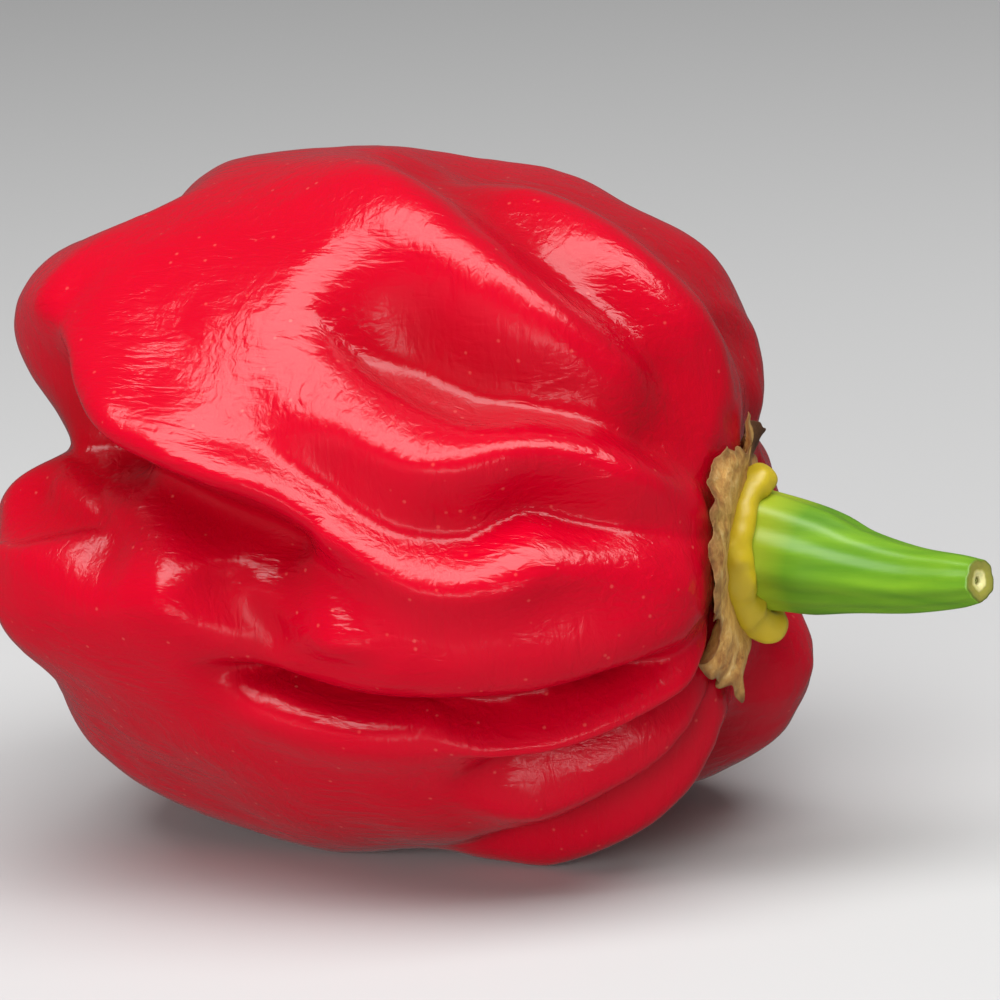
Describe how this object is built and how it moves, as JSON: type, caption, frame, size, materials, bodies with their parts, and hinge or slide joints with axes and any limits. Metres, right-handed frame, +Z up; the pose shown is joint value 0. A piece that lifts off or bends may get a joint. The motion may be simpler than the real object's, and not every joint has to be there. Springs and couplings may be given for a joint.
{
  "type": "chilli pepper",
  "caption": "Glossy red lantern-shaped chilli pepper, deeply folded and lobed, with a yellow-green calyx and a cut green stem, lying on its side.",
  "frame": {"origin": "centre of the bounding box's base, on the surface that the fruit lies on", "axes": "+X from the pod's apex towards the cut end of the stem, +Z up"},
  "size_m": [0.0632, 0.0468, 0.0439],
  "materials": {
    "pod_skin": "gloss",
    "calyx_tissue": "matte",
    "stem_skin": "satin"
  },
  "bodies": {
    "root": {"pod": "pod_skin", "calyx": "calyx_tissue", "stem": "stem_skin"}
  },
  "joints": []
}
